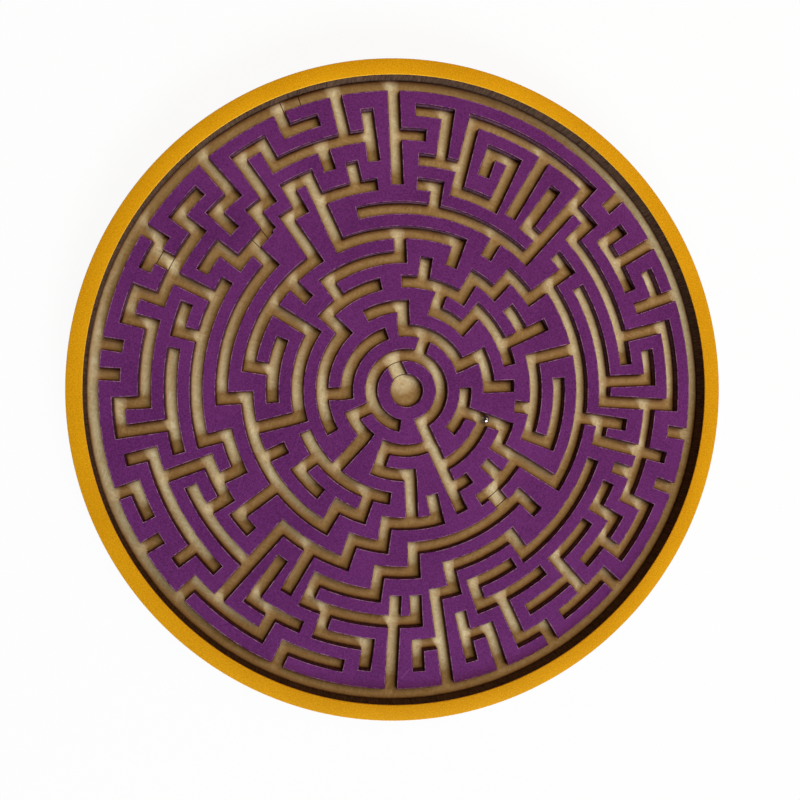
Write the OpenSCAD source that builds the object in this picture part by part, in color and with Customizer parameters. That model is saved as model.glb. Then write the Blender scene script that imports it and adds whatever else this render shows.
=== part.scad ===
// Round ball maze: channels cut through painted plates on a round base board, inside a raised rim,
// with one loose steel ball. Origin at the middle of the underside, +Z up, spoke 3 on +Y.

/* [Tray] */
// Outer diameter of the rim and the base board
rim_od = 250; // [230:1:300]
// Width of the rim, seen from above
rim_w = 6; // [4:0.5:9]
// Thickness of each of the two rim rings
rim_layer_t = 3; // [2.5:0.1:5]
// Thickness of the base board
base_t = 3; // [2:0.1:6]

/* [Maze] */
// Thickness of the maze plates
plate_t = 3; // [2:0.1:4]
// Width of the ball's channels
channel_w = 4.5; // [4:0.1:5]
// Width of the outermost channel, between the plates and the rim
outer_w = 4.75; // [4.2:0.05:5.4]
// Diameter of the goal hole
goal_d = 12.5; // [11:0.5:13.5]
// Width of the collar between the goal hole and the innermost ring channel
collar_w = 5.15; // [4.5:0.05:6]
// Width of the straight bridges cut from one ring channel to the next
bridge_w = 5.8; // [5:0.1:6.4]
// How far a spoke channel runs past the middle line of its last ring
spoke_over = 0.5; // [0.2:0.1:1]

/* [Score lines] */
// Width of the lines scored into the base board across the bridges
score_w = 0.3; // [0.2:0.05:0.6]
// Depth of the scored lines
score_d = 0.2; // [0.1:0.05:0.5]

/* [Ball] */
// Diameter of the steel ball
ball_d = 3; // [2.4:0.1:3.2]
// Gap between the ball and the floor
ball_lift = 0.05; // [0.02:0.01:0.2]
// How far the ball lies from the middle line of its channel
ball_side = 0.25; // [0:0.05:0.6]
// How far the ball lies outward of the middle of the ring that crosses its channel
ball_along = 0.85; // [-2:0.05:2]

/* [Hidden] */
$fn = 96;
tray_r = rim_od / 2 - rim_w;
plate_r = tray_r - outer_w;
ring_first_r = goal_d / 2 + collar_w + channel_w / 2;
ring_last = 11;
ring_pitch = (plate_r + channel_w / 2 - ring_first_r) / ring_last;
spoke_step = 360 / 64;
north_spoke = 3;
past = 1;
cut_h = plate_t + 2 * past;

// Ring channels: ring number, then pairs of spokes from which each arc runs clockwise
ARCS = [
    [10, [[0, 1], [2, 7], [11, 12], [13, 16], [20, 22], [23, 25], [26, 27], [34, 36], [37, 40], [43, 44],
          [46, 47], [50, 51], [52, 53], [54, 55], [57, 58], [59, 60]]],
    [9, [[63, 64], [3, 4], [7, 8], [9, 11], [14, 15], [16, 20], [21, 23], [24, 26], [28, 29], [30, 31],
         [33, 35], [36, 38], [40, 45], [47, 50], [51, 54], [55, 56], [58, 62]]],
    [8, [[0, 2], [8, 14], [20, 21], [22, 24], [25, 28], [31, 36], [39, 43], [45, 49], [50, 51], [53, 54],
         [56.2, 57], [58, 59]]],
    [7, [[0, 1], [2, 4], [6, 7], [8, 9], [10, 16], [17, 18], [19, 25], [26, 28], [29, 30], [33, 36],
         [40, 41], [42, 44], [45, 53], [54, 55], [57.2, 58], [59, 62]]],
    [6, [[61, 71], [9, 21], [25, 29], [31, 33], [35, 39], [43, 45], [47, 55]]],
    [5, [[59, 67], [7, 9], [15, 19], [23, 31], [33, 35], [37, 47], [49, 57.2]]],
    [4, [[5, 7], [9, 11], [13, 19], [21, 25], [29, 33], [35, 37], [39, 41], [47, 51], [57, 63]]],
    [3, [[63, 69], [7, 13], [19, 21], [25, 27], [33, 43], [45, 53], [55, 61]]],
    [2, [[3, 7], [11, 15], [19, 27], [31, 35], [43, 55], [59, 63]]],
    [1, [[63, 75], [15, 23], [27, 35], [39, 43], [47, 59]]],
    [0, [[35, 91]]]
];

// Ends of arcs that stop at their spoke's middle line: ring, spoke. All others run half a channel on
SHORT_ENDS = [
    [8, 0], [7, 0], [7, 8], [7, 10], [7, 19], [7, 40], [7, 53], [7, 62],
    [3, 63], [3, 13], [3, 25], [3, 33], [3, 61], [1, 15], [1, 23]
];

// Spoke channels: spoke, then pairs of rings, inner and outer, that each stretch joins
SPOKES = [
    [1, [[8, 10], [6, 7], [3, 4]]], [2, [[7, 10]]], [3, [[8, 9], [4, 5], [2, 3], [0, 1]]], [4, [[7, 9]]],
    [5, [[7, 10], [5, 6], [3, 4]]], [6, [[7, 9]]], [7, [[6, 10], [4, 5], [2, 3]]], [8, [[10, 11], [8, 9]]],
    [9, [[9, 10], [5, 7]]], [10, [[9, 11]]], [11, [[3, 5], [1, 2]]], [12, [[9, 11]]],
    [13, [[8, 10], [4, 6]]], [15, [[7, 9], [2, 3]]], [16, [[7, 10]]], [16.9, [[3.2, 4]]],
    [17, [[10, 11], [6, 8]]], [18, [[7, 10]]], [19, [[10, 11], [8, 9], [4, 5], [1, 3]]], [20, [[9, 10]]],
    [21, [[8, 9], [3, 6]]], [22, [[9, 10]]], [23, [[10, 11], [5, 6], [3, 4]]], [24, [[8, 10]]],
    [25, [[6, 7]]], [26, [[10, 11]]], [27, [[8, 10], [0, 4]]], [28, [[9, 11], [7, 8]]],
    [29, [[8, 10], [6, 7], [3, 4]]], [30, [[7, 11]]], [31, [[9, 10], [7, 8], [5, 6], [2, 4]]],
    [32, [[7, 11]]], [33, [[9, 10], [6, 7], [4, 5]]], [35, [[8, 9], [5, 6], [3, 4], [1, 2]]],
    [36, [[10, 11], [7, 8]]], [37, [[9, 10], [6, 8], [4, 5]]], [38, [[7, 9]]], [39, [[6, 10], [1, 3]]],
    [40, [[10, 11]]], [41, [[9, 10], [5, 7], [3, 4]]], [42, [[10, 11], [7, 8]]],
    [43, [[6, 7], [4, 5], [0, 1]]], [44, [[10, 11], [7, 9]]], [45, [[9, 10], [6, 7], [3, 5]]],
    [46, [[8, 10]]], [47, [[9, 10], [5, 6], [1, 2]]], [48, [[10, 11]]], [49, [[10, 11], [4, 5]]],
    [50, [[9, 10], [7, 8]]], [51, [[9, 10]]], [52, [[7, 9]]], [53, [[10, 11], [3, 5]]],
    [54, [[9, 10], [7, 8]]], [55, [[8, 9], [6, 7], [4, 5], [2, 3]]], [56, [[9, 11]]], [56.2, [[7, 8]]],
    [57, [[8, 10], [3, 4]]], [57.2, [[5, 7]]], [58, [[9, 10], [7, 8]]], [59, [[10, 11], [5, 8]]],
    [60, [[8, 9]]], [61, [[9, 11], [7, 8]]], [62, [[8, 10]]], [63, [[7, 11], [4, 5], [1, 2]]]
];

// Bridges along a radius: place between spokes, inner ring, outer ring
BRIDGES = [[52.44, 9, 10], [24.22, 4, 5]];
// Spoke of the bridge from the goal hole to the innermost ring
goal_spoke = 59;
// Ends of the bridge along ring 7
side_bridge = [[55, 7], [56.2, 7.1]];
// Places of the two lines scored across the outermost ring
outer_scores = [59.2, 59.83];

// Closed outlines, along channel middles as [spoke, ring] corners, that part the plates from each other
SOUTH_OUTLINE = [
    [32, 11], [32, 8], [36, 8], [36, 7], [33, 7], [33, 6], [31, 6], [31, 5], [24.22, 5], [24.22, 4],
    [21, 4], [21, 3], [19, 3], [19, 2], [27, 2], [27, 1], [35, 1], [35, 2], [31, 2], [31, 4], [33, 4],
    [33, 5], [35, 5], [35, 6], [39, 6], [39, 10], [40, 10], [40, 11], [32, 11]
];
WEST_OUTLINE = [
    [39, 8], [39, 10], [40, 10], [40, 11], [53, 11], [53, 10], [52.44, 10], [52.44, 9], [52, 9], [52, 7],
    [45, 7], [45, 6], [43, 6], [43, 7], [42, 7], [42, 8], [39, 8]
];
GOAL_OUTLINE = [
    [61, 11], [61, 9], [58, 9], [58, 10], [57, 10], [57, 8], [56.2, 8], [56.2, 7.1], [55, 7], [55, 6],
    [47, 6], [47, 5], [37, 5], [37, 4], [35, 4], [35, 3], [39, 3], [39, 1], [43, 1], [43, 0], [91, 0],
    [91, 1], [99, 1], [99, 2], [95, 2], [95, 4], [97, 4], [97, 5], [99, 5], [99, 6], [103, 6], [103, 8],
    [106, 8], [106, 7], [107, 7], [107, 6], [109, 6], [109, 7], [116, 7], [116, 9], [116.44, 9],
    [116.44, 10], [117, 10], [117, 11], [125, 11]
];

// Places on the polar grid
function spoke_angle(n) = 90 - (n - north_spoke) * spoke_step;
function ring_r(k) = ring_first_r + ring_pitch * k;
function at(n, k) = ring_r(k) * [cos(spoke_angle(n)), sin(spoke_angle(n))];
function arc_deg(length, r) = length / r * 180 / PI;
function end_over(k, n) = len([for (e = SHORT_ENDS) if (e == [k, n]) e]) > 0 ? 0 : channel_w / 2;

// Points from one corner up to the next, along the ring if both lie on the same one
function way(a, b) =
    let (steps = a[1] == b[1] ? ceil(abs(b[0] - a[0])) : 1)
    [for (i = [0 : steps - 1]) at(a[0] + (b[0] - a[0]) * i / steps, a[1])];
function outline(corners) =
    [for (i = [0 : len(corners) - 2]) each way(corners[i], corners[i + 1])];

// A bar with a w x h section, bent along radius r from spoke a clockwise to spoke b, with overruns
module arc_bar(r, a, b, w, h, over_a = 0, over_b = 0) {
    first = spoke_angle(b) - arc_deg(over_b, r);
    last = spoke_angle(a) + arc_deg(over_a, r);
    rotate([0, 0, first]) rotate_extrude(angle = last - first) translate([r - w / 2, 0]) square([w, h]);
}

// A bar with a w x h section along a spoke, between two radii
module spoke_bar(n, r_in, r_out, w, h) {
    rotate([0, 0, spoke_angle(n)]) translate([r_in, -w / 2, 0]) cube([r_out - r_in, w, h]);
}

// A bar with a w x h section from one point to another
module straight_bar(p, q, w, h) {
    turn = atan2(q[1] - p[1], q[0] - p[0]);
    translate([p[0], p[1], 0]) rotate([0, 0, turn]) translate([0, -w / 2, 0]) cube([norm(q - p), w, h]);
}

// What is cut through the maze plates: ring channels, spoke channels, then bridges and the goal hole
module ring_channels() {
    for (ring = ARCS, arc = ring[1])
        arc_bar(ring_r(ring[0]), arc[0], arc[1], channel_w, cut_h,
                end_over(ring[0], arc[0]), end_over(ring[0], arc[1]));
}

module spoke_channels() {
    for (spoke = SPOKES, span = spoke[1])
        spoke_bar(spoke[0], ring_r(span[0]) - spoke_over, ring_r(span[1]) + spoke_over, channel_w, cut_h);
}

module bridges() {
    for (b = BRIDGES) spoke_bar(b[0], ring_r(b[1]), ring_r(b[2]), bridge_w, cut_h);
    spoke_bar(goal_spoke, 0, ring_first_r, bridge_w, cut_h);
    straight_bar(at(side_bridge[0][0], side_bridge[0][1]), at(side_bridge[1][0], side_bridge[1][1]),
                 channel_w, cut_h);
    cylinder(d = goal_d, h = cut_h);
}

// The part of the plates inside an outline
module region(corners) {
    translate([0, 0, base_t]) linear_extrude(plate_t) polygon(outline(corners));
}

module plate_blank() {
    translate([0, 0, base_t]) cylinder(r = plate_r, h = plate_t);
}

module cut_channels() {
    cut_z = base_t - past;
    difference() {
        difference() {
            difference() {
                children();
                translate([0, 0, cut_z]) ring_channels();
            }
            translate([0, 0, cut_z]) spoke_channels();
        }
        translate([0, 0, cut_z]) bridges();
    }
}

module island(corners) {
    color([0.39, 0.16, 0.41]) cut_channels() intersection() {
        plate_blank();
        region(corners);
    }
}

module maze_plate_main() {
    color([0.39, 0.16, 0.41]) cut_channels() difference() {
        plate_blank();
        region(SOUTH_OUTLINE);
        region(WEST_OUTLINE);
        region(GOAL_OUTLINE);
    }
}

module maze_plate_goal() { island(GOAL_OUTLINE); }

module maze_plate_west() { island(WEST_OUTLINE); }

module maze_plate_south() { island(SOUTH_OUTLINE); }

// Lines scored along the channel edges that the bridges break through
module score_lines() {
    cut_h = score_d + past;
    half = channel_w / 2;
    for (b = BRIDGES, r = [ring_r(b[1]) + half, ring_r(b[2]) - half])
        score_across(b[0], r, cut_h);
    for (r = [goal_d / 2, ring_first_r - half]) score_across(goal_spoke, r, cut_h);
    for (n = outer_scores) spoke_bar(n, plate_r, tray_r, score_w, cut_h);
    score_beside(side_bridge[0], -half, cut_h);
    score_beside(side_bridge[1], half, cut_h);
}

// A scored arc as wide as a bridge
module score_across(n, r, h) {
    over = bridge_w / 2;
    arc_bar(r, n, n, score_w, h, over, over);
}

// A scored line along one edge of a spoke channel, as long as a channel is wide
module score_beside(place, side, h) {
    rotate([0, 0, spoke_angle(place[0])])
        translate([ring_r(place[1]) - channel_w / 2, side - score_w / 2, 0]) cube([channel_w, score_w, h]);
}

module base_board() {
    color([0.78, 0.69, 0.49]) difference() {
        cylinder(d = rim_od, h = base_t);
        translate([0, 0, base_t - score_d]) score_lines();
    }
}

// One layer of the rim, counted from the base board
module rim_ring(layer) {
    color([0.85, 0.6, 0.05]) translate([0, 0, base_t + layer * rim_layer_t])
        rotate_extrude() translate([tray_r, 0]) square([rim_w, rim_layer_t]);
}

module rim_ring_lower() { rim_ring(0); }

module rim_ring_upper() { rim_ring(1); }

// The ball, where ring 2 meets spoke 19
module steel_ball() {
    home = at(19, 2) + [ball_along, ball_side];
    color("silver") translate([home[0], home[1], base_t + ball_lift + ball_d / 2]) sphere(d = ball_d);
}

base_board();
rim_ring_lower();
rim_ring_upper();
maze_plate_main();
maze_plate_goal();
maze_plate_west();
maze_plate_south();
steel_ball();
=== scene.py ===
"""Round ball maze: painted plates and a painted rim on a raw board, with one loose steel ball."""
import math

import bpy
import numpy as np
from mathutils import Matrix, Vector
from mathutils.geometry import delaunay_2d_cdt


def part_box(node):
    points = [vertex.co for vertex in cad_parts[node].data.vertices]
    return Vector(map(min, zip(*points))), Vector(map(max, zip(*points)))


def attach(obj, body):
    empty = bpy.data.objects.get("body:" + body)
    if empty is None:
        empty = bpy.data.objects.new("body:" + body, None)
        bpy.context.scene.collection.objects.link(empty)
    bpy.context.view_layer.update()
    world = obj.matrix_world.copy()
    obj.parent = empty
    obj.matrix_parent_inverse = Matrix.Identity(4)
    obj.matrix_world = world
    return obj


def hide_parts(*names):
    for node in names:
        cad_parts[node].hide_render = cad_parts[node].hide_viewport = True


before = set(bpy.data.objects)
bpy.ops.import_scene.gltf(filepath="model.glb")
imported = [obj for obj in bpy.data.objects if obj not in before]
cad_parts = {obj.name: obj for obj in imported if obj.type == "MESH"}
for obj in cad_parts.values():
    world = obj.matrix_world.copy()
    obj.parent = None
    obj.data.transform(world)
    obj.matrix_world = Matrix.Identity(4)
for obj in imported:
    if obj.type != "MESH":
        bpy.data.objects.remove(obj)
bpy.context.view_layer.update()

MM = 0.001
FLOOR_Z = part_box("base_board")[1].z
PLATE_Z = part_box("maze_plate_main")[1].z
RIM_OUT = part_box("rim_ring_upper")[1].x


def node_points(node):
    """Corner points of a CAD node, as rows of x, y, z."""
    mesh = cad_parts[node].data
    spot = np.empty(len(mesh.vertices) * 3, np.float32)
    mesh.vertices.foreach_get("co", spot)
    return spot.reshape(-1, 3).astype(float)


RIM_IN = np.hypot(*node_points("rim_ring_upper")[:, :2].T).min()


# Outlines

MERGE = 1e-6              # points closer than this are one
ARC_SLACK = 0.03 * MM     # an edge whose ends differ less in radius is an arc


def face_outlines(node, height):
    """Closed outlines of a CAD node's flat face at a height, with the board on their left.

    An edge of the face's triangles that no second triangle shares lies on an outline, and its end leads
    to the next such edge. Doubling the stride of that lead over and over gives each point the lowest
    number in its outline and its steps to the end of it.
    """
    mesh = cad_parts[node].data
    mesh.calc_loop_triangles()
    corner = np.empty(len(mesh.loop_triangles) * 3, np.int32)
    mesh.loop_triangles.foreach_get("vertices", corner)
    grid = np.round(node_points(node) / MERGE).astype(np.int64)
    spot, same = np.unique(grid, axis=0, return_inverse=True)
    tri = same.ravel()[corner].reshape(-1, 3)
    tri = tri[(np.abs(spot[tri, 2] * MERGE - height) < 5 * MERGE).all(1)]
    edge = tri[:, [0, 1, 1, 2, 2, 0]].reshape(-1, 2)
    count = len(spot)
    edge = edge[~np.isin(edge @ [count, 1], edge @ [1, count])]
    lead = np.arange(count)
    lead[edge[:, 0]] = edge[:, 1]
    lowest, stride = np.arange(count), lead.copy()
    doublings = range(int(np.log2(count)) + 1)
    for _ in doublings:
        lowest, stride = np.minimum(lowest, lowest[stride]), stride[stride]
    last = lead == lowest
    to_go, stride = np.where(last, 0, 1), np.where(last, np.arange(count), lead)
    for _ in doublings:
        to_go, stride = to_go + to_go[stride], stride[stride]
    on = edge[:, 0]
    order = on[np.lexsort((-to_go[on], lowest[on]))]
    return np.split(spot[order, :2] * MERGE, np.flatnonzero(np.diff(lowest[order])) + 1)


def refined(loop, shortest, step):
    """An outline without its shortest edges, drawn in steps.

    An edge whose ends are equally far from the middle is an arc about it and is cut into equal angles;
    any other is straight and is cut into equal lengths.
    """
    loop = loop[np.linalg.norm(loop - np.roll(loop, 1, 0), axis=1) > shortest]
    ahead = np.roll(loop, -1, 0)
    radius, angle = np.hypot(*loop.T), np.arctan2(loop[:, 1], loop[:, 0])
    grow = np.hypot(*ahead.T) - radius
    turn = (np.arctan2(ahead[:, 1], ahead[:, 0]) - angle + math.pi) % (2 * math.pi) - math.pi
    pieces = np.ceil(np.linalg.norm(ahead - loop, axis=1) / step).astype(int)
    i = np.repeat(np.arange(len(loop)), pieces)
    t = (np.arange(len(i)) - np.repeat(np.cumsum(pieces) - pieces, pieces)) / pieces[i]
    straight = loop[i] + t[:, None] * (ahead - loop)[i]
    r, a = radius[i] + t * grow[i], angle[i] + t * turn[i]
    arc = np.column_stack([r * np.cos(a), r * np.sin(a)])
    return np.where((np.abs(grow) < ARC_SLACK)[i, None], arc, straight)


def inward(loop):
    """The step that moves both edges at a point left by one.

    It is the sum of their left normals over 1 plus the normals' product.
    """
    ahead = np.roll(loop, -1, 0) - loop
    ahead /= np.linalg.norm(ahead, axis=1, keepdims=True)
    left = np.column_stack([-ahead[:, 1], ahead[:, 0]])
    before = np.roll(left, 1, 0)
    return (left + before) / np.maximum(0.5, 1 + (left * before).sum(1))[:, None]


def next_points(loops):
    """The number of the point after each point, with the outlines' points counted one after another."""
    sizes = [len(l) for l in loops]
    starts = np.cumsum([0] + sizes[:-1])
    return np.concatenate([s + np.roll(np.arange(n), -1) for s, n in zip(starts, sizes)])


def edges_of(loops):
    """Both ends of every edge of the outlines."""
    return np.concatenate(loops), np.concatenate([np.roll(l, -1, 0) for l in loops])


def carried(loops, profile):
    """A profile carried along outlines: row k is every point moved inward by profile[k, 0], at height
    profile[k, 1].

    Gives the points, row after row, and the quads between rows as rows x points x 4.
    """
    profile = np.asarray(profile)
    steps = np.concatenate([inward(l) for l in loops])
    plan = np.concatenate(loops) + profile[:, 0, None, None] * steps
    points = np.dstack([plan, np.broadcast_to(profile[:, 1, None], plan.shape[:2])])
    after = next_points(loops)
    here = np.arange(len(after))
    row = np.arange(len(profile) - 1)[:, None] * len(here)
    above = row + len(here)
    quads = np.stack([row + here, row + after, above + after, above + here], -1)
    return points.reshape(-1, 3), quads


def filled(loops, spare=np.empty((0, 2))):
    """Triangles that fill the outlines, with spare points as further corners.

    Gives each triangle's corners as numbers into the outlines' points and then the spare ones, and the
    number of the innermost outline that holds it.
    """
    starts = np.cumsum([0] + [len(l) for l in loops])
    areas = [np.sum(l[:, 0] * np.roll(l[:, 1], -1) - l[:, 1] * np.roll(l[:, 0], -1)) for l in loops]
    rings = [list(range(s, s + len(l)))[:: 1 if area > 0 else -1]
             for s, l, area in zip(starts, loops, areas)]
    points = np.concatenate(loops + [spare]) / MM
    inside_only, nearness = 1, 1e-6
    made = delaunay_2d_cdt(points.tolist(), [], rings, inside_only, nearness)
    source = np.array([o[0] if o else -1 for o in made[3]])
    tri = source[np.array(made[2])]
    holder = np.array([max(o) for o in made[5]])
    sound = (tri >= 0).all(1)
    return tri[sound], holder[sound]


def gap_field(loops, cell, reach):
    """Distance to the nearest wall on a grid of square cells, up to a reach, as a function of points.

    A cell lies under a plate if the outlines cross its row an odd number of times before it. Along a row
    the nearest such cell is the running greatest or least number of one; across rows it is the least root
    of the squared sum of that and the rows between. Between cell middles the distance is blended.
    """
    half = RIM_OUT + 2 * cell
    count = int(2 * half / cell)
    a, b = edges_of(loops)
    low, high = (np.ceil((y + half) / cell - 0.5).astype(int)
                 for y in (np.minimum(a[:, 1], b[:, 1]), np.maximum(a[:, 1], b[:, 1])))
    rows = high - low
    i = np.repeat(np.arange(len(a)), rows)
    row = np.arange(len(i)) - np.repeat(np.cumsum(rows) - rows, rows) + low[i]
    t = ((row + 0.5) * cell - half - a[i, 1]) / (b - a)[i, 1]
    column = np.ceil((a[i, 0] + t * (b - a)[i, 0] + half) / cell - 0.5).astype(int)
    crossed = np.zeros((count, count), int)
    np.add.at(crossed, (row, column), 1)
    middle = (np.arange(count) + 0.5) * cell - half
    solid = (np.cumsum(crossed, 1) % 2 == 1) | (np.hypot(middle[:, None], middle) > RIM_IN)
    number = np.arange(count)
    far = 10 * count
    left = np.maximum.accumulate(np.where(solid, number, -far), 1)
    right = np.minimum.accumulate(np.where(solid, number, far)[:, ::-1], 1)[:, ::-1]
    along = np.minimum(number - left, right - number).astype(float)
    steps = int(reach / cell) + 1
    padded = np.pad(along, ((steps, steps), (0, 0)), constant_values=far)
    squares = [padded[s: s + count] ** 2 + (s - steps) ** 2 for s in range(2 * steps + 1)]
    gap = np.minimum(np.sqrt(np.min(squares, 0)) * cell, reach)

    def at(points):
        x, y = (points.T + half) / cell - 0.5
        c, r = np.clip(x, 0, count - 2).astype(int), np.clip(y, 0, count - 2).astype(int)
        u, v = np.clip(x - c, 0, 1), np.clip(y - r, 0, 1)
        return ((gap[r, c] * (1 - u) + gap[r, c + 1] * u) * (1 - v)
                + (gap[r + 1, c] * (1 - u) + gap[r + 1, c + 1] * u) * v)

    return at


# Finishes

class Wire:
    """A socket in a finish's nodes.

    Sums with numbers and other wires add Math nodes; node() adds any other.
    """

    def __init__(self, tree, socket=None):
        self.tree, self.socket = tree, socket

    def node(self, kind, settings=None, inputs=None, out=0):
        made = self.tree.nodes.new(kind)
        for key, value in (settings or {}).items():
            setattr(made, key, value)
        for key, value in (inputs or {}).items():
            self.feed(made.inputs[key], value)
        return Wire(self.tree, made.outputs[out])

    def feed(self, target, value):
        if isinstance(value, Wire):
            self.tree.links.new(value.socket, target)
        else:
            target.default_value = value

    def math(self, operation, *values):
        return self.node("ShaderNodeMath", {"operation": operation}, dict(enumerate(values)))

    def __add__(self, other):
        return self.math("ADD", self, other)

    def __sub__(self, other):
        return self.math("SUBTRACT", self, other)

    def __rsub__(self, other):
        return self.math("SUBTRACT", other, self)

    def __mul__(self, other):
        return self.math("MULTIPLY", self, other)

    __radd__, __rmul__ = __add__, __mul__

    def greatest(self, *others):
        """The greatest of this and other values."""
        most = self
        for other in others:
            most = self.math("MAXIMUM", most, other)
        return most

    def spread(self, low, high):
        """0 at low, 1 at high and straight between, held outside."""
        return self.node("ShaderNodeMapRange", {"clamp": True},
                         {"Value": self, "From Min": low, "From Max": high, "To Min": 0.0, "To Max": 1.0})

    def place(self):
        """The point on the object."""
        return self.node("ShaderNodeTexCoord", out="Object")

    def noise(self, scale, detail, rough=0.55, stretch=None):
        """Noise about 0.5 over the object, its scale in cells per metre.

        A small stretch along an axis draws the cells out along it.
        """
        place = self.place()
        if stretch:
            place = self.node("ShaderNodeMapping", {}, {"Vector": place, "Scale": stretch})
        return self.node("ShaderNodeTexNoise", {}, {"Vector": place, "Scale": scale, "Detail": detail,
                                                    "Roughness": rough})

    def attribute(self, name):
        return self.node("ShaderNodeAttribute", {"attribute_name": name}, out="Fac")

    def mix(self, amount, first, second):
        """The first colour at amount 0, the second at 1, in the node's colour sockets 6, 7 and 2."""
        return self.node("ShaderNodeMix", {"data_type": "RGBA"}, {0: amount, 6: first, 7: second}, out=2)

    def stroke(self, start, end, width):
        """1 along a thin straight stroke seen from above, 0 beside it.

        It fades in over the first 0.15 of its length and out over the last 0.25.
        """
        x, y = (self.node("ShaderNodeSeparateXYZ", {}, {0: self.place()}, out=o) for o in "XY")
        length = math.dist(start, end)
        ahead = ((end[0] - start[0]) / length, (end[1] - start[1]) / length)
        along = (x - start[0]) * ahead[0] + (y - start[1]) * ahead[1]
        across = (y - start[1]) * ahead[0] - (x - start[0]) * ahead[1]
        ends = along.spread(0.0, 0.15 * length) * (length - along).spread(0.0, 0.25 * length)
        return ends * (1 - across.math("ABSOLUTE", across).spread(0.3 * width, width))

    def bump(self, height, depth):
        return self.node("ShaderNodeBump", {}, {"Distance": depth, "Height": height})


def rgb(red, green, blue):
    return (red, green, blue, 1.0)


def new_finish(name, **constants):
    """A finish with its plain values set, the start of its wires, and a function that feeds its shader."""
    made = bpy.data.materials.new(name)
    made.use_nodes = True
    shader = made.node_tree.nodes["Principled BSDF"]
    for key, value in constants.items():
        shader.inputs[key.replace("_", " ")].default_value = value
    start = Wire(made.node_tree)

    def coat(**wires):
        for key, value in wires.items():
            start.feed(shader.inputs[key.replace("_", " ")], value)
        return made

    return start, coat


PAINT_GRAIN = (1900.0, 4.0, 0.65)
BOARD_FIBRE = (1100.0, 4.0, 0.65)
SCRATCH = ((0.0354, -0.1045), (0.0377, -0.0994))
SCRATCH_WIDTH = 0.16 * MM


def purple_paint():
    """Satin purple on fibreboard: fine roller grain, soft clouds, pale edges of rubbed paint and painted
    highlight, and a scratch.
    """
    deep, light = rgb(0.0835, 0.014, 0.087), rgb(0.158, 0.0307, 0.163)
    worn_and_highlight, scratched = rgb(0.42, 0.23, 0.31), rgb(0.26, 0.1, 0.28)
    w, coat = new_finish("purple_paint", Specular_IOR_Level=0.03)
    grain = w.noise(*PAINT_GRAIN)
    cloud = w.noise(30.0, 2.0)
    colour = w.mix((grain * 0.75 + cloud * 0.25).spread(0.38, 0.62), deep, light)
    # Pale line along the rounded edges: rubbed paint and a painted highlight.
    rubbed_and_highlit = w.attribute("edge") * grain.spread(0.3, 0.6) * w.noise(420.0, 2.0).spread(0.38, 0.6) * 0.9
    colour = w.mix(rubbed_and_highlit, colour, worn_and_highlight)
    colour = w.mix(w.stroke(*SCRATCH, SCRATCH_WIDTH) * 0.6, colour, scratched)
    return coat(Base_Color=colour, Roughness=grain * 0.2 + 0.5, Normal=w.bump(grain, 0.03 * MM))


def ochre_paint():
    """Satin ochre yellow: fine grain, faint clouds and a pale line along the edges, thin paint and painted
    highlight.
    """
    deep, light, worn_and_highlight = rgb(0.55, 0.24, 0.0028), rgb(0.785, 0.38, 0.0066), rgb(0.78, 0.52, 0.16)
    w, coat = new_finish("ochre_paint", Specular_IOR_Level=0.03)
    grain = w.noise(*PAINT_GRAIN)
    cloud = w.noise(40.0, 2.0)
    colour = w.mix((grain * 0.85 + cloud * 0.15).spread(0.36, 0.64), deep, light)
    # Pale line along the rounded edges: thin paint and a painted highlight.
    rubbed_and_highlit = w.attribute("edge") * grain.spread(0.3, 0.65) * 0.5
    colour = w.mix(rubbed_and_highlit, colour, worn_and_highlight)
    return coat(Base_Color=colour, Roughness=grain * 0.2 + 0.45, Normal=w.bump(grain, 0.04 * MM))


def burnt_edge(name, dark, ash, streaky):
    """Board edge charred by the cutting beam: upright streaks and patches from near black to ash brown,
    seared black where the beam went in and came out."""
    w, coat = new_finish(name, Specular_IOR_Level=0.03)
    streak = w.noise(2800.0, 3.0, 0.6, (1.0, 1.0, 0.06))
    patch = w.noise(90.0, 3.0)
    sear = w.attribute("sear") * (streak.spread(0.25, 0.6) * 0.3 + 0.65)
    tone = (streak * streaky + patch * (1 - streaky)).spread(0.3, 0.8) * (1 - sear)
    colour = w.mix(tone, dark, ash)
    return coat(Base_Color=colour, Roughness=streak * 0.3 + 0.6, Normal=w.bump(streak, 0.1 * MM))


def raw_board():
    """Raw fibreboard: pale felted fibres, golden brown towards the cut walls, smoke stain and painted shade,
    and near black at their foot, soot and painted shade in the corner. The attribute gap is the distance to
    the nearest wall in millimetres."""
    deep, light = rgb(0.497, 0.349, 0.16), rgb(0.785, 0.675, 0.42)
    smoke_and_shade_brown, soot_and_shade_black = rgb(0.33, 0.16, 0.045), rgb(0.07, 0.021, 0.012)
    w, coat = new_finish("raw_board", Specular_IOR_Level=0.06)
    fibre = w.noise(*BOARD_FIBRE, (1.0, 0.25, 1.0))
    cross = w.noise(*BOARD_FIBRE, (0.25, 1.0, 1.0))
    cloud = w.noise(70.0, 3.0)
    felt = fibre.greatest(cross)
    colour = w.mix((felt * 0.65 + cloud * 0.35).spread(0.38, 0.68), deep, light)
    gap = w.attribute("gap")
    # Golden brown towards the walls: smoke stain and painted shade.
    smoke_and_shade = (1 - gap.spread(0.3, 2.0)) * (cloud.spread(0.25, 0.65) * 0.5 + 0.5)
    colour = w.mix(smoke_and_shade, colour, smoke_and_shade_brown)
    # Near black at the foot of the walls: soot and painted shade in the corner.
    soot_and_shade = (1 - gap.spread(0.1, 0.7)) * 0.85
    colour = w.mix(soot_and_shade, colour, soot_and_shade_black)
    return coat(Base_Color=colour, Roughness=0.9 - felt * 0.2, Normal=w.bump(felt, 0.1 * MM))


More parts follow.
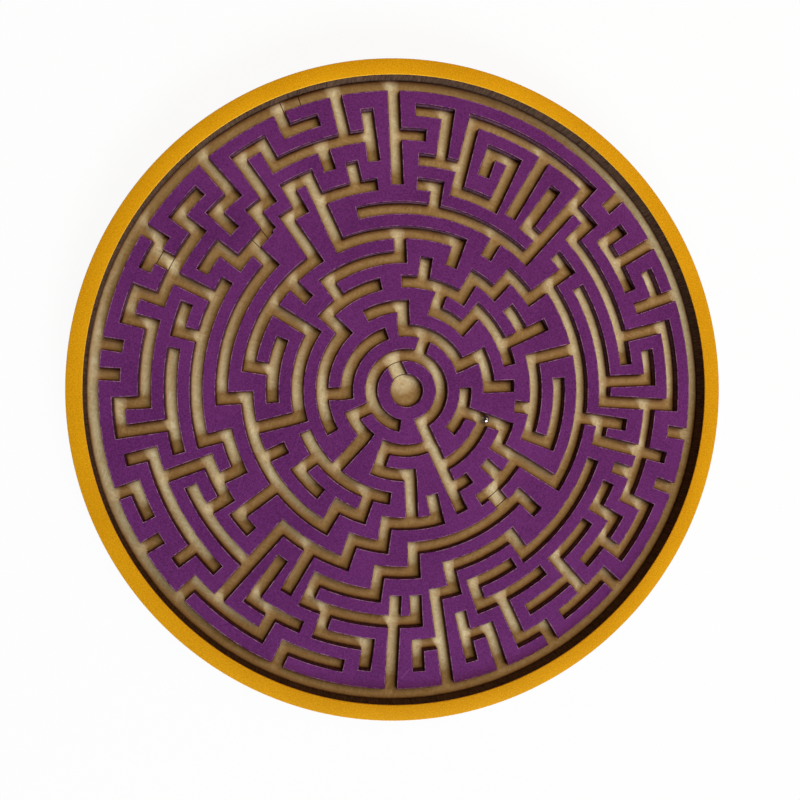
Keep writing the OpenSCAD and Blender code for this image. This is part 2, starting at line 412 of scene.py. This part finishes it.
def polished_steel():
    """Bearing steel: mirror finish with faint scuffs."""
    w, coat = new_finish("polished_steel", Metallic=1.0)
    scuff = w.noise(2500.0, 3.0, 0.6, (1.0, 0.3, 1.0))
    colour = w.mix(scuff.spread(0.35, 0.7), rgb(0.5, 0.48, 0.47), rgb(0.62, 0.6, 0.59))
    return coat(Base_Color=colour, Roughness=scuff * 0.12 + 0.08)


PURPLE, OCHRE, RAW, STEEL = purple_paint(), ochre_paint(), raw_board(), polished_steel()
BURNT = burnt_edge("burnt_edge", dark=rgb(0.0135, 0.0013, 0.01), ash=rgb(0.2, 0.084, 0.107), streaky=0.7)
BURNT_RIM = burnt_edge("burnt_rim", dark=rgb(0.012, 0.0058, 0.0065), ash=rgb(0.178, 0.094, 0.05),
                       streaky=0.85)


# Pieces

WALL_STEP = 1.2 * MM                        # longest edge along a wall
SHORTEST = 0.3 * MM                         # shorter edges of a plate's outline are left out
SCORE_SHORTEST = 0.02 * MM                  # and shorter ones of a scored line's
SEAR = 0.8 * MM                             # height over which the char along a wall's edge fades
SEAM = 0.45 * MM                            # the same on the outside, at the seams of the layers
PLATE_ROUND = 0.14 * MM                     # radius of the plates' upper edges
BOARD_ROUND = 0.12 * MM                     # radius of the base's edges and the rings' lower ones
ROUNDING_STEPS, CORNER_POINTS = 3, 5        # on the plates and the base, and on the rings
FOOT_IN, FOOT_UP = 0.04 * MM, 0.08 * MM     # draw-in at the foot of a plate's wall
BRIM = (0.28 * MM, 0.42 * MM)               # insets between which a plate's pale edge of rubbed paint and painted highlight fades
SCORE_DEPTH, SCORE_CLEAR = 0.2 * MM, 0.3 * MM
GAP_CELL = 0.2 * MM
CLEAR_OF_WALLS = 3.0                        # millimetres from a wall, past the smoke stain and painted shade
FLOOR_ROWS = (0.0, 0.35, 0.9, 1.7)          # millimetres from a wall
ROW_SHARE, ROW_SLACK = 0.75, 0.15 * MM      # share of its distance that a row's point needs free
ROUND_STEPS = 720
ROUND = np.arange(ROUND_STEPS) * 2 * math.pi / ROUND_STEPS
BALL_SIDES, BALL_BANDS = 64, 32
PLATES = ["maze_plate_main", "maze_plate_goal", "maze_plate_west", "maze_plate_south"]


def add_piece(name, node, body, slot, points, faces, finishes, smooth, **attributes):
    """A mesh in a CAD node's place.

    It has points, and lists of faces with one finish and one smoothness for each list.
    """
    mesh = bpy.data.meshes.new(name)
    mesh.from_pydata(points.tolist(), [], [f for part in faces for f in part.tolist()])
    sizes = [len(part) for part in faces]
    materials = list(dict.fromkeys(finishes))
    for m in materials:
        mesh.materials.append(m)
    mesh.polygons.foreach_set("material_index", np.repeat([materials.index(f) for f in finishes], sizes))
    mesh.polygons.foreach_set("use_smooth", np.repeat(smooth, sizes))
    for key, values in attributes.items():
        mesh.attributes.new(key, "FLOAT", "POINT").data.foreach_set("value", np.asarray(values, np.float32))
    mesh.update()
    made = bpy.data.objects.new(name, mesh)
    bpy.context.scene.collection.objects.link(made)
    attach(made, body)
    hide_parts(node)


def rounding(radius):
    """Insets and drops of a rounded edge: a quarter circle from the wall up to the flat."""
    turn = np.linspace(0, math.pi / 2, ROUNDING_STEPS + 1)
    return np.column_stack([radius * (1 - np.cos(turn)), radius * (np.sin(turn) - 1)])


plate_loops = {n: [refined(l, SHORTEST, WALL_STEP) for l in face_outlines(n, PLATE_Z)] for n in PLATES}


def maze_plate(node):
    """A plate: the charred wall, the rounded edge and a narrow brim, pale with rubbed paint and painted
    highlight, carried along its outlines, then top and underside filled."""
    loops = sorted(plate_loops[node], key=lambda l: -np.ptp(l[:, 0]))
    wall = [[FOOT_IN, FLOOR_Z], [0, FLOOR_Z + FOOT_UP], [0, FLOOR_Z + SEAR], [0, PLATE_Z - SEAR]]
    top = rounding(PLATE_ROUND) + [0, PLATE_Z]
    brim = [[inset, PLATE_Z] for inset in BRIM]
    profile = np.vstack([wall, top, brim])
    points, quads = carried(loops, profile)
    rows, count = len(profile), quads.shape[1]
    tri, holder = filled(np.split(points[-count:, :2], np.cumsum([len(l) for l in loops])[:-1]))
    tri = tri[holder == 0]
    # edge marks the pale line of rubbed paint and painted highlight on the rounded edge and brim.
    edge = np.repeat([0.0] * len(wall) + [1.0] * len(top) + [1.0, 0.0], count)
    sear = np.repeat([1.0, 1.0, 0.0, 0.0] + [1.0] * len(top) + [0.0, 0.0], count)
    flat, painted = len(wall), len(wall) + len(top) - 1
    faces = [quads[:flat].reshape(-1, 4), quads[flat:painted].reshape(-1, 4), quads[painted:].reshape(-1, 4),
             tri + (rows - 1) * count, tri[:, ::-1]]
    add_piece(node.replace("maze_plate", "painted_plate"), node, "tray", "maze_paint", points, faces,
              [BURNT, BURNT, PURPLE, PURPLE, RAW], [False, True, False, False, False], edge=edge, sear=sear,
              gap=np.full(len(points), CLEAR_OF_WALLS))


def rim_ring(name, node, top_round, top_finish, sear_top, sear_foot):
    """A ring of the rim: a box profile with rounded edges, turned about the middle.

    Its outer wall is seared along both edges, its inner wall as much at the top and the foot as it is told.
    """
    low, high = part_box(node)[0].z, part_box(node)[1].z
    turn = np.linspace(0, math.pi / 2, CORNER_POINTS)
    corners = [(RIM_OUT - BOARD_ROUND, low + BOARD_ROUND, BOARD_ROUND, -math.pi / 2),
               (RIM_OUT - top_round, high - top_round, top_round, 0),
               (RIM_IN + top_round, high - top_round, top_round, math.pi / 2),
               (RIM_IN + BOARD_ROUND, low + BOARD_ROUND, BOARD_ROUND, math.pi)]
    rows = [np.column_stack([r + q * np.cos(turn + a), z + q * np.sin(turn + a)]) for r, z, q, a in corners]
    outer_wall = [[RIM_OUT, low + SEAM], [RIM_OUT, high - SEAM]]
    inner_wall = [[RIM_IN, high - SEAR], [RIM_IN, low + SEAR]]
    stretches = [rows[0], outer_wall, rows[1], rows[2], inner_wall, rows[3]]
    profile = np.vstack(stretches)
    sizes = [len(s) for s in stretches]
    points = np.dstack([profile[:, :1] * np.cos(ROUND), profile[:, :1] * np.sin(ROUND),
                        np.repeat(profile[:, 1:], ROUND_STEPS, 1)]).reshape(-1, 3)
    k, j = np.meshgrid(np.arange(len(profile)) * ROUND_STEPS, np.arange(ROUND_STEPS), indexing="ij")
    kn, jn = np.roll(k, -1, 0), np.roll(j, -1, 1)
    quads = np.stack([k + j, k + jn, kn + jn, kn + j], -1)
    first, last = sum(sizes[:2]), sum(sizes[:4]) - 1
    painted = quads[first:last].reshape(-1, 4)
    burnt = np.concatenate([quads[:first].reshape(-1, 4), quads[last:].reshape(-1, 4)])
    # edge marks the pale line of thin paint and painted highlight on the rounded top edges.
    edge = np.repeat([0.0, 0.0, 0.6, 0.3, 0.0, 0.0], sizes)
    top_face = sum(sizes[:3])
    edge[top_face - 1: top_face + 1] = 0.0
    sear = np.repeat([1.0, 0.0, 0.8, sear_top, 0.0, sear_foot], sizes)
    add_piece(name, node, "tray", "rim_paint", points, [painted, burnt], [top_finish, BURNT_RIM],
              [True, True], edge=np.repeat(edge, ROUND_STEPS), sear=np.repeat(sear, ROUND_STEPS))


def floor_points(walls, scores, gap_at):
    """Points in rows along the foot of every wall, each row further out, where no other wall is nearer.

    Points by a scored line are left out: a point's distance to an edge is that to the nearest spot on it.
    """
    rim_wall = RIM_IN * np.column_stack([np.cos(ROUND), -np.sin(ROUND)])
    rows = []
    for out in np.array(FLOOR_ROWS) * MM:
        row = np.concatenate([l - out * inward(l) for l in walls + [rim_wall]])
        rows.append(row[gap_at(row) > ROW_SHARE * out - ROW_SLACK] if out else row)
    spare = np.concatenate(rows)
    a, b = edges_of(scores)
    t = np.clip(((spare[:, None] - a) * (b - a)).sum(2) / ((b - a) ** 2).sum(1), 0, 1)
    away = np.linalg.norm(spare[:, None] - a - t[..., None] * (b - a), axis=2).min(1)
    return spare[away > SCORE_CLEAR]


def floor_board():
    """The base: a rounded wall round a disc; its top is filled through rows of points along every wall, with
    the scored lines sunk into it."""
    ring = RIM_OUT * np.column_stack([np.cos(ROUND), np.sin(ROUND)])
    scores = [refined(l, SCORE_SHORTEST, WALL_STEP) for l in face_outlines("base_board", FLOOR_Z)]
    scores = [l for l in scores if np.ptp(l[:, 0]) < RIM_OUT]
    walls = [l for n in PLATES for l in plate_loops[n]]
    gap_at = gap_field(walls, GAP_CELL, CLEAR_OF_WALLS * MM)
    spare = floor_points(walls, scores, gap_at)
    top = rounding(BOARD_ROUND)
    wall = [[0, SEAM], [0, FLOOR_Z - SEAM]]
    profile = np.vstack([(top * [1, -1])[::-1], wall, top + [0, FLOOR_Z]])
    shell, quads = carried([ring], profile)
    wall_sear = np.repeat([0.6, 0.0, 1.0], [len(top), len(wall), len(top)]).repeat(ROUND_STEPS)
    tri, holder = filled([shell[-ROUND_STEPS:, :2]] + scores, spare)
    lines = np.concatenate(scores)
    flat = np.concatenate([lines, spare])
    points = np.vstack([shell, np.column_stack([flat, np.full(len(flat), FLOOR_Z)]),
                        np.column_stack([lines, np.full(len(lines), FLOOR_Z - SCORE_DEPTH)])])
    brim_from, line_from, sunk_from = len(shell) - ROUND_STEPS, len(shell), len(shell) + len(flat)
    top_tri = tri[holder == 0] + brim_from
    sunk_tri = tri[holder > 0] - ROUND_STEPS + sunk_from
    here, after = np.arange(len(lines)), next_points(scores)
    side = np.stack([here + sunk_from, after + sunk_from, after + line_from, here + line_from], -1)
    bottom = np.arange(ROUND_STEPS)[None, ::-1]
    gap = np.full(len(points), CLEAR_OF_WALLS)
    gap[line_from:] = gap_at(points[line_from:, :2]) / MM
    sear = np.zeros(len(points))
    sear[:len(wall_sear)] = wall_sear
    add_piece("floor_board", "base_board", "tray", "raw_board", points,
              [quads.reshape(-1, 4), top_tri, sunk_tri, side, bottom], [BURNT_RIM, RAW, BURNT, BURNT, RAW],
              [True, False, False, False, False], gap=gap, sear=sear)


def rolling_ball():
    """The ball: sin and cos of a polar and a round angle about its centre, closed by a point at each pole."""
    low, high = (np.array(c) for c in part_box("steel_ball"))
    polar = np.linspace(0, math.pi, BALL_BANDS + 1)[1:-1, None]
    turn = np.arange(BALL_SIDES) * 2 * math.pi / BALL_SIDES
    shell = np.dstack([np.sin(polar) * np.cos(turn), np.sin(polar) * np.sin(turn),
                       np.repeat(np.cos(polar), BALL_SIDES, 1)]).reshape(-1, 3)
    points = (low + high) / 2 + (high - low)[2] / 2 * np.vstack([shell, [[0, 0, 1], [0, 0, -1]]])
    k, j = np.meshgrid(np.arange(BALL_BANDS - 2) * BALL_SIDES, np.arange(BALL_SIDES), indexing="ij")
    jn = np.roll(j, -1, 1)
    quads = np.stack([k + j, k + BALL_SIDES + j, k + BALL_SIDES + jn, k + jn], -1)
    j, jn, last = j[0], jn[0], (BALL_BANDS - 2) * BALL_SIDES
    north = np.stack([np.full(BALL_SIDES, len(shell)), j, jn], -1)
    south = np.stack([np.full(BALL_SIDES, len(shell) + 1), last + jn, last + j], -1)
    faces = [quads.reshape(-1, 4), north, south]
    add_piece("rolling_ball", "steel_ball", "ball", "ball_steel", points, faces, [STEEL] * 3, [True] * 3)


for plate in PLATES:
    maze_plate(plate)
rim_ring("rim_lower", "rim_ring_lower", top_round=0.1 * MM, top_finish=BURNT_RIM,
         sear_top=0.0, sear_foot=1.0)
rim_ring("rim_upper", "rim_ring_upper", top_round=0.25 * MM, top_finish=OCHRE,
         sear_top=0.8, sear_foot=0.0)
floor_board()
rolling_ball()


# Stage, light and camera

TABLE_HALF, TABLE_DROP = 2.0, 0.4 * MM
TABLE_GLOW = 0.93     # share of plain white where the table is seen directly; the rest takes the shadow
WHITE = rgb(1, 1, 1)


def seen_directly(w):
    """1 for rays from the camera, a mirror or clear stuff."""
    camera, *others = [w.node("ShaderNodeLightPath", out=o)
                       for o in ("Is Camera Ray", "Is Glossy Ray", "Is Transmission Ray")]
    return camera.greatest(*others)


def blank_tree(stuff):
    """The emptied nodes of a material or world, as the start of its wires."""
    stuff.use_nodes = True
    stuff.node_tree.nodes.clear()
    return Wire(stuff.node_tree)


def stage_floor():
    """A wide pale table top just under the board."""
    corners = [(-1, -1), (1, -1), (1, 1), (-1, 1)]
    mesh = bpy.data.meshes.new("table_top")
    mesh.from_pydata([(x * TABLE_HALF, y * TABLE_HALF, -TABLE_DROP) for x, y in corners], [], [(0, 1, 2, 3)])
    made = bpy.data.objects.new("table_top", mesh)
    bpy.context.scene.collection.objects.link(made)
    stuff = bpy.data.materials.new("table_white")
    w = blank_tree(stuff)
    matt = w.node("ShaderNodeBsdfDiffuse", {}, {"Color": rgb(0.86, 0.86, 0.86)})
    glow = w.node("ShaderNodeEmission", {}, {"Color": WHITE, "Strength": 1.0})
    both = w.node("ShaderNodeMixShader", {}, {0: seen_directly(w) * TABLE_GLOW, 1: matt, 2: glow})
    end = w.tree.nodes.new("ShaderNodeOutputMaterial")
    w.feed(end.inputs["Surface"], both)
    mesh.materials.append(stuff)


def room_light():
    """Even light from all round, white where it is seen directly, with a dim ceiling in mirrors."""
    world = bpy.data.worlds.new("room")
    bpy.context.scene.world = world
    w = blank_tree(world)
    fill = w.node("ShaderNodeBackground", {}, {"Color": rgb(1.0, 0.647, 0.46), "Strength": 0.19})
    white = w.node("ShaderNodeBackground", {}, {"Color": WHITE, "Strength": 1.0})
    dim = w.node("ShaderNodeBackground", {}, {"Color": rgb(1.0, 0.75, 0.75), "Strength": 0.05})
    rise = w.node("ShaderNodeSeparateXYZ", {}, {0: w.node("ShaderNodeTexCoord", out="Generated")}, out="Z")
    mirrored = w.node("ShaderNodeLightPath", out="Is Glossy Ray")
    shown = w.node("ShaderNodeMixShader", {}, {0: mirrored * rise.spread(0.02, 0.2), 1: white, 2: dim})
    both = w.node("ShaderNodeMixShader", {}, {0: seen_directly(w), 1: fill, 2: shown})
    end = w.tree.nodes.new("ShaderNodeOutputWorld")
    w.feed(end.inputs["Surface"], both)


def set_place(made, axes):
    """Puts an object at the pose whose columns are its x, y and z axes and its place, and links it."""
    made.matrix_world = Matrix(np.vstack([axes, [0, 0, 0, 1]]).tolist())
    bpy.context.scene.collection.objects.link(made)


def soft_light(name, bearing, rise, reach, size, power, colour, mirrored=True):
    """A broad soft light, turned towards the middle from a bearing, a rise over the table and a distance."""
    bearing, rise = math.radians(bearing), math.radians(rise)
    level = math.cos(rise)
    towards = np.array([math.cos(bearing) * level, math.sin(bearing) * level, math.sin(rise)])
    side = np.cross([0, 0, 1], towards)
    side /= np.linalg.norm(side)
    lamp = bpy.data.lights.new(name, "AREA")
    lamp.shape, lamp.size, lamp.size_y, lamp.energy, lamp.color = "RECTANGLE", *size, power, colour
    made = bpy.data.objects.new(name, lamp)
    made.visible_glossy = mirrored
    set_place(made, np.column_stack([side, np.cross(towards, side), towards, towards * reach]))


def photo_camera():
    """The camera: tilted a little off straight down, its axes from that tilt, its side and a slight roll.

    Lengths in the picture are in pixels: the maze's middle, the point the camera faces and its focal length.
    """
    tilt, bearing, roll, turn = np.radians([6.0614, 176.8262, 0.153, 19.8])
    reach, focal, frame_size, sensor = 0.26976, 706.60, 800, 36
    middle, aim = np.array([406.729, 390.546]), np.array([348.287, 400.0])
    back = np.array([math.sin(tilt) * math.cos(bearing), math.sin(tilt) * math.sin(bearing), math.cos(tilt)])
    across = np.cross([0, 1, 0], back)
    across /= np.linalg.norm(across)
    rise = np.cross(back, across)
    right = math.cos(roll) * across + math.sin(roll) * rise
    up = math.cos(roll) * rise - math.sin(roll) * across
    off = (middle - aim) / focal * reach
    eye = back * reach - right * off[0] + up * off[1]
    spin = np.array([[math.cos(turn), -math.sin(turn), 0], [math.sin(turn), math.cos(turn), 0], [0, 0, 1]])
    axes = spin @ np.column_stack([right, up, back, eye])
    axes[2, 3] += PLATE_Z
    data = bpy.data.cameras.new("camera")
    data.sensor_width, data.lens = sensor, focal / frame_size * sensor
    data.shift_x = (frame_size / 2 - aim[0]) / frame_size
    data.clip_start, data.clip_end = 0.01, 20
    made = bpy.data.objects.new("camera", data)
    set_place(made, axes)
    bpy.context.scene.camera = made


stage_floor()
room_light()
soft_light("window", bearing=-54.5, rise=25, reach=4.0, size=(2.8, 1.2), power=287.0,
           colour=(0.7, 0.847, 1.0))
soft_light("room_lamp", bearing=40, rise=49, reach=0.6, size=(0.6, 0.24), power=0.82,
           colour=(1.0, 0.667, 0.46))
soft_light("ceiling", bearing=95, rise=64, reach=0.75, size=(0.4, 0.4), power=1.13,
           colour=(1.0, 0.833, 0.45), mirrored=False)
photo_camera()
bpy.context.scene.view_settings.view_transform = "Standard"
